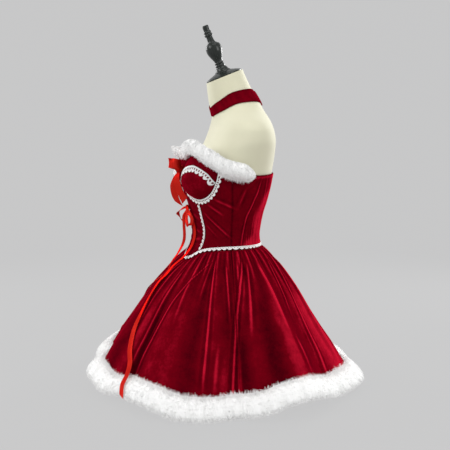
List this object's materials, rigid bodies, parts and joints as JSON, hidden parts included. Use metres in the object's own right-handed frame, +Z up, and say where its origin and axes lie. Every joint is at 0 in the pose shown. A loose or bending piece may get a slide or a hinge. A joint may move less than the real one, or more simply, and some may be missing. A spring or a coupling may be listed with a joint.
{
  "type": "strapless costume dress with fur trim and choker on a dress form",
  "caption": "Sleeveless velvet costume dress, gathered flared skirt, fur neckline and hem, lace, satin bows and a choker, on a limbless dress form with a turned finial, pole and round base.",
  "frame": {"origin": "middle of the round base's underside, on the floor", "axes": "+Z up, -Y to the wearer's front, +X to the wearer's left"},
  "size_m": [0.7122, 0.7162, 0.9162],
  "materials": {
    "red_velvet": "crushed pile velvet, deep red",
    "white_fur": "short white faux fur",
    "white_lace": "white cotton lace",
    "red_satin": "glossy scarlet satin ribbon",
    "form_cover": "taut cream jersey cover",
    "black_gloss": "turned wood, black lacquer"
  },
  "bodies": {
    "root": {"form_base": "black_gloss", "form_pole": "black_gloss", "form_torso": "form_cover", "form_neck_cap": "black_gloss", "form_finial": "black_gloss", "bodice_center_front": "red_velvet", "bodice_upper_cup_left": "red_velvet", "bodice_upper_cup_right": "red_velvet", "bodice_lower_cup_left": "red_velvet", "bodice_lower_cup_right": "red_velvet", "bodice_side_left": "red_velvet", "bodice_side_right": "red_velvet", "bodice_back_left": "red_velvet", "bodice_back_right": "red_velvet", "skirt_front": "red_velvet", "skirt_back": "red_velvet", "fur_neckline": "white_fur", "fur_hem_front": "white_fur", "fur_hem_back": "white_fur", "lace_waist": "white_lace", "lace_cup_top_left": "white_lace", "lace_cup_top_right": "white_lace", "lace_cup_under_left": "white_lace", "lace_cup_under_right": "white_lace", "lace_princess_left": "white_lace", "lace_princess_right": "white_lace", "bow_upper": "red_satin", "bow_upper_tail_left": "red_satin", "bow_upper_tail_right": "red_satin", "bow_lower": "red_satin", "ribbon_tail_left": "red_satin", "ribbon_tail_right": "red_satin", "choker": "red_velvet"}
  },
  "joints": []
}
